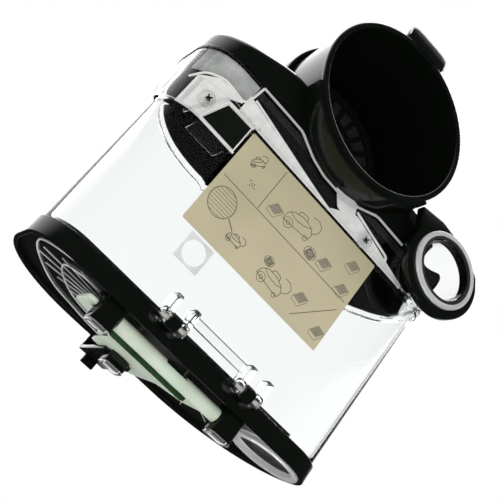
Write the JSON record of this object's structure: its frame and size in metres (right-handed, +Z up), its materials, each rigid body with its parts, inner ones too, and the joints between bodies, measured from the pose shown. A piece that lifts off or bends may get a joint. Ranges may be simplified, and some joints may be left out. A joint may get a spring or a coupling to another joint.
{
  "type": "vacuum cleaner dust container",
  "caption": "Clear dust tank with a hinged black bottom lid and release lever, a black top frame with an inlet, and a pull-out filter cup.",
  "frame": {"origin": "on the surface the feet stand on, under the middle of the object's box", "axes": "+X along the tank towards the inlet end, -Y the front with the label, +Z up from the lid to the filter cup"},
  "size_m": [0.232, 0.136, 0.2946],
  "materials": {
    "clear_plastic": "water-clear gloss",
    "printed_label": "satin print",
    "frosted_badge": "frosted",
    "steel_pin": "bright drawn",
    "steel_screw": "zinc plated",
    "black_gloss": "gloss black with a faint green cast",
    "dark_plastic": "satin black",
    "seal_rubber": "soft matte",
    "smoky_plastic": "smoky clear gloss",
    "pale_green_plastic": "translucent pale green",
    "filter_foam": "open-cell foam"
  },
  "bodies": {
    "container": {"clear_tank": "clear_plastic", "catch_bracket": "clear_plastic", "instruction_label": "printed_label", "front_badge": "frosted_badge", "hinge_pins": "steel_pin", "top_frame": "black_gloss", "filter_housing": "black_gloss", "front_cradle": "black_gloss", "inlet_flange": "black_gloss", "frame_gasket": "seal_rubber", "frame_screws": "steel_screw", "inlet_tube": "clear_plastic", "inlet_lip": "clear_plastic", "inlet_seal": "seal_rubber", "intake_screen": "dark_plastic"},
    "lid": {"bottom_lid": "black_gloss", "lid_gasket": "seal_rubber", "port_ring": "smoky_plastic", "port_seal": "seal_rubber", "front_feet": "dark_plastic", "pivot_rod": "steel_pin", "lever_spring": "steel_pin"},
    "lever": {"release_lever": "pale_green_plastic", "latch_hook": "black_gloss", "hook_screws": "steel_screw"},
    "cup": {"filter_cup": "black_gloss", "cup_seal": "seal_rubber"},
    "filter_pack": {"foam_filter": "filter_foam", "cup_grille": "dark_plastic", "grille_grip": "dark_plastic"}
  },
  "joints": [
    {"name": "lid_hinge", "type": "hinge", "parent": "container", "child": "lid", "pos_m": [-0.004, -0.05125, 0.027], "axis": [-1, 0, 0], "range_deg": [0, 110]},
    {"name": "release_lever", "type": "hinge", "parent": "lid", "child": "lever", "pos_m": [-0.004, -0.03525, 0.01], "axis": [-1, 0, 0], "range_deg": [0, 8], "stiffness_Nm_per_rad": 1.5, "springref_deg": -8.59, "deforming": ["lever_spring"]},
    {"name": "cup_slide", "type": "slide", "parent": "container", "child": "cup", "axis": [0, -0.9781, 0.2079], "range_m": [0, 0.105]},
    {"name": "filter_slide", "type": "slide", "parent": "cup", "child": "filter_pack", "axis": [0, -0.9781, 0.2079], "range_m": [0, 0.1]}
  ]
}
